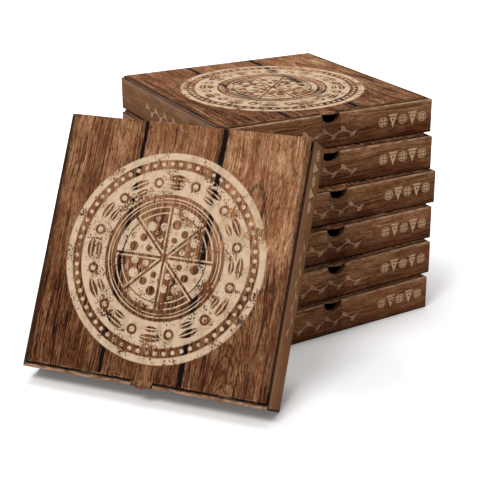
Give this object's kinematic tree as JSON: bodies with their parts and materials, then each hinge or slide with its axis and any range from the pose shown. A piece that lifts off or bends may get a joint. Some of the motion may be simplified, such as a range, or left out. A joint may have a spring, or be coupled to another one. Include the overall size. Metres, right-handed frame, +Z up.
{
  "type": "stack of pizza boxes",
  "caption": "Square folded pizza boxes of corrugated board in an uneven stack, with another box leaning on one corner; the top box and the leaning box open.",
  "frame": {"origin": "middle of the underside of the lowest box, on the floor", "axes": "+Z up, -Y towards the front walls with the thumb notches, +X to the right seen from the front"},
  "size_m": [0.631, 0.5633, 0.3098],
  "materials": {
    "printed_board": "matte print"
  },
  "bodies": {
    "root": {"box_1": "printed_board", "box_2": "printed_board", "box_3": "printed_board", "box_4": "printed_board", "box_5": "printed_board", "top_box_tray": "printed_board", "leaning_box_tray": "printed_board"},
    "top_lid": {"top_box_lid": "printed_board"},
    "leaning_lid": {"leaning_box_lid": "printed_board"}
  },
  "joints": [
    {"name": "top_lid_hinge", "type": "hinge", "parent": "root", "child": "top_lid", "pos_m": [0.05459, 0.21849, 0.29495], "axis": [-0.9973, 0.0732, 0], "range_deg": [0, 180]},
    {"name": "leaning_lid_hinge", "type": "hinge", "parent": "root", "child": "leaning_lid", "pos_m": [-0.18302, -0.10253, 0.30898], "axis": [-0.5983, 0.8013, 0], "range_deg": [0, 180]}
  ]
}
